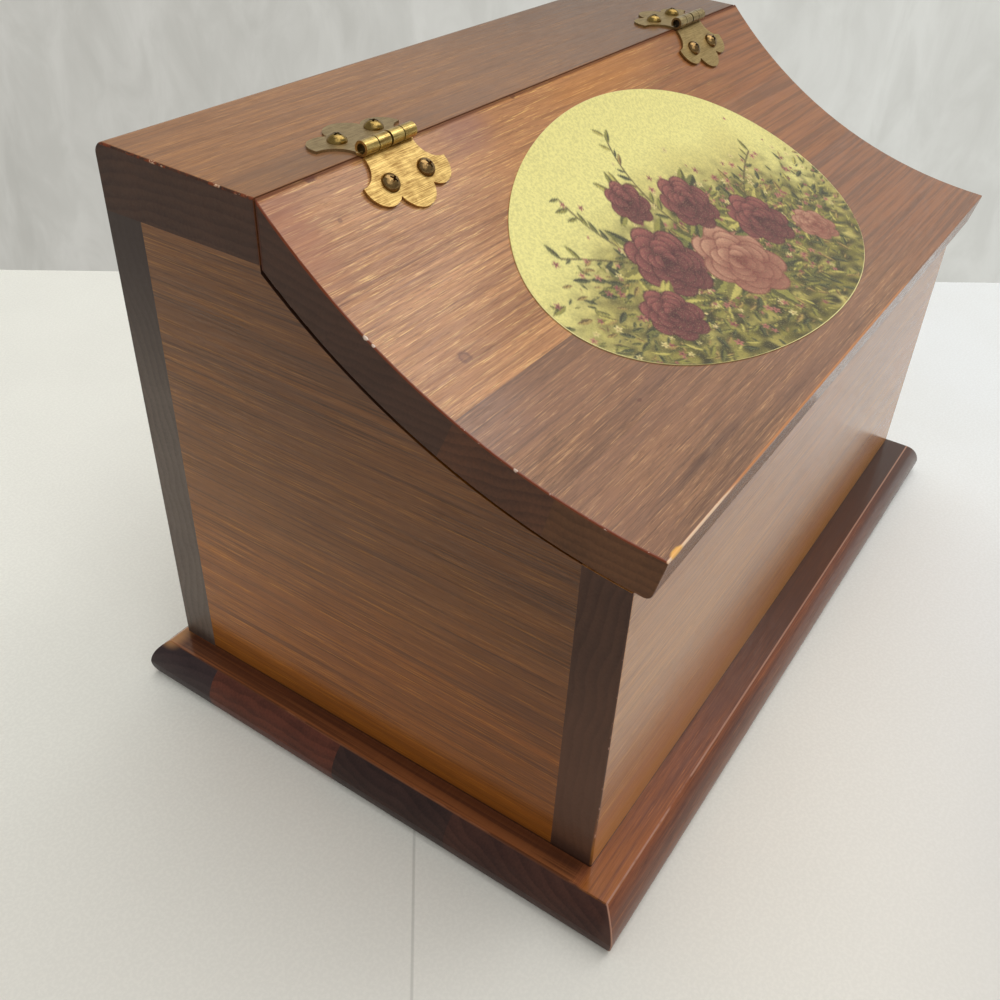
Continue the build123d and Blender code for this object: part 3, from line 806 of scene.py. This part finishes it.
class Painting:
    """Colours at points (u, v), in millimetres right and up from the middle of the oval."""

    def __init__(self, u, v):
        self.u = u
        self.v = v
        self.colour = np.zeros((len(u), 3))

    def lay(self, mask, colour, near=slice(None)):
        """Cover points with a colour as far as the mask says, all of them or the near ones."""
        self.colour[near] += np.clip(mask, 0, 1)[:, None] * (np.array(colour, float) - self.colour[near])

    def close_to(self, place, reach):
        """Numbers of the points within a square about a place, and their offsets from it."""
        u, v = self.u - place[0], self.v - place[1]
        near = np.flatnonzero((abs(u) < reach) & (abs(v) < reach))
        return near, u[near], v[near]

    def leaf(self, place, turn, length, light, dark):
        """Pointed leaf from its foot, one half in light, with a midrib."""
        near, u, v = self.close_to(place, length)
        along = u * math.cos(turn) + v * math.sin(turn)
        side = v * math.cos(turn) - u * math.sin(turn)
        share = np.clip(along / length, 0, 1)
        half = 0.52 * length * share**0.7 * (1 - share) ** 0.9
        inside = np.where((along > 0) & (along < length), (half - np.abs(side)) / 0.5, 0)
        self.lay(inside, dark, near)
        self.lay(np.where(side > 0, inside, 0), light, near)

    def blossom(self, place, radius, petals, turn, light, middle):
        """Small flat flower."""
        near, u, v = self.close_to(place, radius)
        away = np.hypot(u, v)
        rim = radius * (0.72 + 0.28 * np.cos(petals * (np.arctan2(v, u) + turn)))
        self.lay((rim - away) / 0.6, light, near)
        self.lay((0.3 * radius - away) / 0.5, middle, near)

    def petal(self, near, u, v, size, turn, light, dark):
        """Round petal with offsets u and v from its middle, dark at its rim and lit towards its turn."""
        away = np.hypot(u, v) / size
        outward = (u * math.cos(turn) + v * math.sin(turn)) / size
        self.lay((1 - away) * size / 0.5, dark, near)
        lit = np.clip(0.3 + 0.7 * outward, 0, 1) * (0.72 + 0.28 * math.sin(turn))
        self.lay(np.clip((0.93 - away) * size / 0.6, 0, 1) * lit, light, near)

    def rose(self, place, radius, light, dark, random):
        """Full rose: rings of overlapping petals, drawn from the rim to the heart."""
        near, u, v = self.close_to(place, 1.2 * radius)
        for ring in range(ROSE_RINGS):
            reach = radius * (1 - ring / ROSE_RINGS) * 0.72
            size = radius * (0.46 - 0.055 * ring)
            petals = 7 - ring
            start = random.uniform(0, 2 * math.pi)
            for number in range(petals):
                turn = start + 2 * math.pi * number / petals
                offsets = u - reach * math.cos(turn), v - reach * math.sin(turn)
                self.petal(near, *offsets, size, turn, light, dark)
        self.lay((0.16 * radius - np.hypot(u, v)) / 0.6, dark, near)

    def stem(self, start, bend, end, width, colour):
        """Curved stem through a bending point."""
        nearest = np.full(len(self.u), np.inf)
        for share in np.linspace(0, 1, 160):
            at = curve_point(start, bend, end, share)
            nearest = np.minimum(nearest, np.hypot(self.u - at[0], self.v - at[1]))
        self.lay((width - nearest) / 0.5, colour)


def paint_ground(art):
    """Pale ground that turns tan downwards, with an olive wash about the foot of the spray."""
    u, v = art.u, art.v
    art.lay(np.ones_like(u), GROUND_PALE)
    art.lay(0.35 + 0.45 * waves(u, v, 50, 1) - v / 90, GROUND_TAN)
    low = np.exp(-(((u + 2) / 96) ** 2 + ((v - SPRAY_FOOT) / 46) ** 2) ** 2.2)
    art.lay(low * (0.85 + 0.4 * waves(u, v, 16, 2)), WASH_OLIVE)
    art.lay(low * (0.45 + 0.7 * waves(u, v, 7, 3)), WASH_DARK)


def paint_stems(art, random):
    """Curved stems with leaves to either side."""
    for start, bend, end in STEMS:
        art.stem(start, bend, end, STEM_WIDTH, STEM_TONE)
        heading = math.atan2(end[1] - start[1], end[0] - start[0])
        for share in np.linspace(0.3, 1.0, STEM_LEAVES):
            light, dark = pick(random, LEAF_TONES)
            turn = heading + random.choice((-0.8, 0.8))
            art.leaf(curve_point(start, bend, end, share), turn, random.uniform(4.0, 8.0), light, dark)


def paint_leaves(art, random):
    """Crowd of leaves that fan out from the foot of the spray, up to a wavy top line."""
    for count, spread, shortest, longest in LEAF_LAYERS:
        for _ in range(count):
            place = random.normal(LEAF_MIDDLE, spread)
            if place[1] > LEAF_TOP + LEAF_TOP_SWELL * math.sin(place[0] / LEAF_TOP_PACE):
                continue
            turn = math.atan2(place[1] - SPRAY_FOOT, place[0]) + random.normal(0, 0.7)
            light, dark = pick(random, LEAF_TONES)
            art.leaf(place, turn, random.uniform(shortest, longest), light, dark)


def paint_blossoms(art, random):
    """Small flowers scattered over the leaves."""
    for _ in range(BLOSSOM_COUNT):
        place = random.normal(BLOSSOM_MIDDLE, BLOSSOM_SPREAD)
        light, middle = pick(random, BLOSSOM_TONES)
        radius, turn = random.uniform(1.0, 2.2), random.uniform(0, 6)
        art.blossom(place, radius, BLOSSOM_PETALS, turn, light, middle)


def paint_roses(art, random):
    """Roses, each over leaves of its own."""
    for right, up, radius in ROSES:
        for turn in random.uniform(0, 2 * math.pi, ROSE_LEAVES):
            foot = (right + 0.7 * radius * math.cos(turn), up + 0.7 * radius * math.sin(turn))
            art.leaf(foot, turn + random.normal(0, 0.3), radius, *pick(random, LEAF_TONES[:3]))
        light, dark = pick(random, ROSE_TONES)
        art.rose((right, up), radius, light, dark, random)


def painted(u, v):
    """Colours of the picture, as the screen shows them."""
    art = Painting(u, v)
    random = np.random.default_rng(PAINT_SEED)
    paint_ground(art)
    paint_stems(art, random)
    paint_leaves(art, random)
    paint_blossoms(art, random)
    paint_roses(art, random)
    return art.colour


def print_ink():
    """Printed colours under varnish, a little mottled and flecked."""
    s = Shader("print_ink")
    mm = s.millimetres()
    paint = s.node("VertexColor", layer_name="paint").outputs["Color"]
    mottle = s.noise(s.scaled(mm, 0.9), detail=4, roughness=0.7)
    fleck = s.noise(s.scaled(mm, 2.4), detail=2)
    paint = s.mix(s.step(mottle, 0.35, 0.62, 0.22, 0.0), paint, (64, 58, 40), blend="MULTIPLY")
    paint = s.mix(s.step(fleck, 0.55, 0.7, 0.0, 0.2), paint, (226, 212, 150))
    return s.surface(
        base_color=paint,
        roughness=s.step(mottle, 0.3, 0.7, 0.42, 0.5),
        specular_ior_level=0.2,
        coat_weight=0.2,
        coat_roughness=0.25,
    )


def paper():
    """Yellowed paper."""
    s = Shader("paper")
    fibre = s.noise(s.scaled(s.millimetres(), 1 / 3), detail=3)
    return s.surface(base_color=s.mix(fibre, (216, 200, 130), (232, 222, 160)), roughness=0.5)


def make_picture():
    """Mesh with the painting as its colours: a square grid drawn in to a disc, stretched to the oval
    and laid along the curve of the lid."""
    across, along = [np.linspace(-1, 1, count + 1) for count in ART_CELLS]
    square_u, square_v = [grid.ravel() for grid in np.meshgrid(across, along, indexing="ij")]
    disc_u = square_u * np.sqrt(1 - square_v**2 / 2)
    disc_v = square_v * np.sqrt(1 - square_u**2 / 2)
    angles = [math.asin((y - CURVE_Y) / PICTURE_RADIUS) for y in (PICTURE_LOW.y, PICTURE_HIGH.y)]
    half_length = (PICTURE_HIGH.x - PICTURE_LOW.x) / 2 - ART_RIM
    half_width = (angles[1] - angles[0]) / 2 * PICTURE_RADIUS - ART_RIM
    u, v = disc_u * half_length, disc_v * half_width
    radius = PICTURE_RADIUS - ART_LIFT
    angle = sum(angles) / 2 + v / PICTURE_RADIUS
    x = (PICTURE_LOW.x + PICTURE_HIGH.x) / 2 + u
    places = np.c_[x, CURVE_Y + radius * np.sin(angle), CURVE_Z - radius * np.cos(angle)] / MM
    rows = ART_CELLS[1] + 1
    firsts = [column * rows + row for column in range(ART_CELLS[0]) for row in range(ART_CELLS[1])]
    faces = [(first, first + rows, first + rows + 1, first + 1) for first in firsts]
    mesh = bpy.data.meshes.new("picture_art")
    mesh.from_pydata(places.tolist(), [], faces)
    mesh.shade_smooth()
    layer = mesh.color_attributes.new(name="paint", type="FLOAT_COLOR", domain="POINT")
    layer.data.foreach_set("color", np.c_[linear(painted(u, v)), np.ones(len(u))].ravel())
    made = bpy.data.objects.new("picture_art", mesh)
    bpy.context.scene.collection.objects.link(made)
    mesh.materials.append(print_ink())
    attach(made, "lid")


dress(paper(), "picture_print")
make_picture()


# Table and curtain: the table's far edge runs across the line of sight, so they have axes of their own

TO_CURTAIN = Vector((0.8, 0.6, 0))
ALONG_EDGE = Vector((0.6, -0.8, 0))
TABLE_EDGE = 302
TABLE_REACH = 3000
TABLE_LINE_PLACE = -78.6
TABLE_LINE_START = -140
CURTAIN_PLACE = 1150
CURTAIN_HALF_WIDTH = 2600
CURTAIN_LOW = -1200
CURTAIN_HIGH = 2400
CURTAIN_COLUMNS = 400
CURTAIN_FOLDS = 10
CURTAIN_SEED = 7
FOLD_LENGTHS = (90, 420)
FOLD_DEPTH_SHARE = 0.02


def stage_mesh(name, corners, faces, material, smooth=False):
    """Mesh that belongs to the stage; its corners are in millimetres."""
    mesh = bpy.data.meshes.new(name)
    mesh.from_pydata([corner / MM for corner in corners], [], faces)
    if smooth:
        mesh.shade_smooth()
    mesh.materials.append(material)
    made = bpy.data.objects.new(name, mesh)
    bpy.context.scene.collection.objects.link(made)


def table_cloth():
    """Pale table with one faint crease; painted shade makes it a little darker towards the viewer and to
    the right.
    """
    s = Shader("table")
    mm = s.millimetres()
    depth = s.vector_math("DOT_PRODUCT", mm, TO_CURTAIN)
    side = s.vector_math("DOT_PRODUCT", mm, ALONG_EDGE)
    mottle = s.noise(s.scaled(mm, 1 / 90), detail=3)
    colour = s.mix(s.step(depth, -60, -240), (242, 241, 232), (227, 224, 215))
    right_shaded = s.mix(s.step(depth, 80, -200), (236, 238, 238), (194, 193, 196))
    colour = s.mix(s.step(side, 20, 270), colour, right_shaded)
    colour = s.mix(s.step(mottle, 0.35, 0.7, 0.0, 0.15), colour, (222, 220, 212))
    grain = s.noise(s.scaled(mm, 0.8), detail=2)
    colour = s.mix(s.step(grain, 0.42, 0.62, 0.12, 0.0), colour, (196, 194, 186))
    off_line = s.math("ABSOLUTE", s.minus(side, TABLE_LINE_PLACE))
    begun = s.step(depth, TABLE_LINE_START, TABLE_LINE_START - 15)
    colour = s.mix(s.times(s.step(off_line, 0.7, 0.2), begun, 0.5), colour, (176, 174, 166))
    normal = s.bump(grain, 0.0002, 0.3)
    return s.surface(base_color=colour, roughness=0.55, specular_ior_level=0.3, normal=normal)


def curtain_cloth():
    """Pale crinkled cloth. Seen by the camera or in a reflection it partly shines by itself, so that
    it shows pale, and it sheds none of that light on the object."""
    s = Shader("curtain")
    mm = s.millimetres()
    side = s.vector_math("DOT_PRODUCT", mm, ALONG_EDGE)
    mottle = s.noise(s.scaled(mm, (1 / 120, 1 / 120, 1 / 500)), detail=4)
    crinkle = s.noise(s.scaled(mm, (1 / 55, 1 / 55, 1 / 130)), detail=5, roughness=0.6, distortion=0.6)
    # Painted light: the crinkles' light and shade, and the right side lighter than the left, are in the
    # shining colour
    tone = s.times(s.plus(mottle, s.step(crinkle, 0.3, 0.7)), 0.5)
    left = s.mix(tone, (186, 184, 176), (224, 222, 215))
    right = s.mix(tone, (216, 216, 209), (246, 247, 241))
    seen = s.mix(s.step(side, -500, 600), left, right)
    cloth = s.node("BsdfDiffuse", {"Color": s.mix(mottle, (206, 205, 199), (226, 226, 221))}).outputs[0]
    shine = s.node("Emission", {"Color": seen, "Strength": 1.0}).outputs[0]
    path = s.node("LightPath").outputs
    shown = s.math("MAXIMUM", path["Is Camera Ray"], path["Is Glossy Ray"])
    shown = s.math("MAXIMUM", shown, path["Is Transmission Ray"])
    mixed = s.node("MixShader", {0: s.times(shown, 0.6), 1: cloth, 2: shine})
    s.node("OutputMaterial", {"Surface": mixed.outputs[0]})
    return s.material


def make_table():
    """Flat table that ends at its far edge."""
    outline = (
        (-TABLE_REACH, TABLE_REACH), (TABLE_EDGE, TABLE_REACH),
        (TABLE_EDGE, -TABLE_REACH), (-TABLE_REACH, -TABLE_REACH),
    )
    corners = [TO_CURTAIN * depth + ALONG_EDGE * side for depth, side in outline]
    stage_mesh("table", corners, [(0, 1, 2, 3)], table_cloth())


def make_curtain():
    """Hanging cloth with soft upright folds."""
    random = np.random.default_rng(CURTAIN_SEED)
    sides = np.linspace(-CURTAIN_HALF_WIDTH, CURTAIN_HALF_WIDTH, CURTAIN_COLUMNS)
    depth = np.zeros(CURTAIN_COLUMNS)
    for _ in range(CURTAIN_FOLDS):
        length, phase = random.uniform(*FOLD_LENGTHS), random.uniform(0, 6.3)
        depth += length * FOLD_DEPTH_SHARE * np.sin(2 * math.pi * sides / length + phase)
    corners = []
    for side, fold in zip(sides, depth):
        foot = TO_CURTAIN * (CURTAIN_PLACE + fold) + ALONG_EDGE * side
        corners += [foot + Vector((0, 0, CURTAIN_LOW)), foot + Vector((0, 0, CURTAIN_HIGH))]
    faces = [(2 * i, 2 * i + 1, 2 * i + 3, 2 * i + 2) for i in range(CURTAIN_COLUMNS - 1)]
    stage_mesh("curtain", corners, faces, curtain_cloth(), smooth=True)


make_table()
make_curtain()


# Light: an even pale world and two large lamps, with their places and sides in metres

WORLD_COLOUR = (0.90, 0.90, 0.88, 1)
WORLD_STRENGTH = 0.45


def light_world():
    """Even pale light from all sides."""
    world = bpy.data.worlds.new("world")
    bpy.context.scene.world = world
    world.use_nodes = True
    background = world.node_tree.nodes["Background"]
    background.inputs["Color"].default_value = WORLD_COLOUR
    background.inputs["Strength"].default_value = WORLD_STRENGTH


def square_lamp(name, place, aim, side, power):
    """Square lamp at a place, turned to what it aims at."""
    data = bpy.data.lights.new(name, "AREA")
    data.shape = "SQUARE"
    data.size = side
    data.energy = power
    lamp = bpy.data.objects.new(name, data)
    bpy.context.scene.collection.objects.link(lamp)
    lamp.location = place
    lamp.rotation_mode = "QUATERNION"
    lamp.rotation_quaternion = (Vector(aim) - Vector(place)).to_track_quat("-Z", "Y")


light_world()
square_lamp("ceiling", place=(0.85, -0.04, 2.1), aim=(0, 0, 0.15), side=2.3, power=42)
square_lamp("room", place=(-0.7, -0.9, 1.6), aim=(0, 0, 0.1), side=1.5, power=8)

bpy.context.scene.view_settings.view_transform = "Standard"
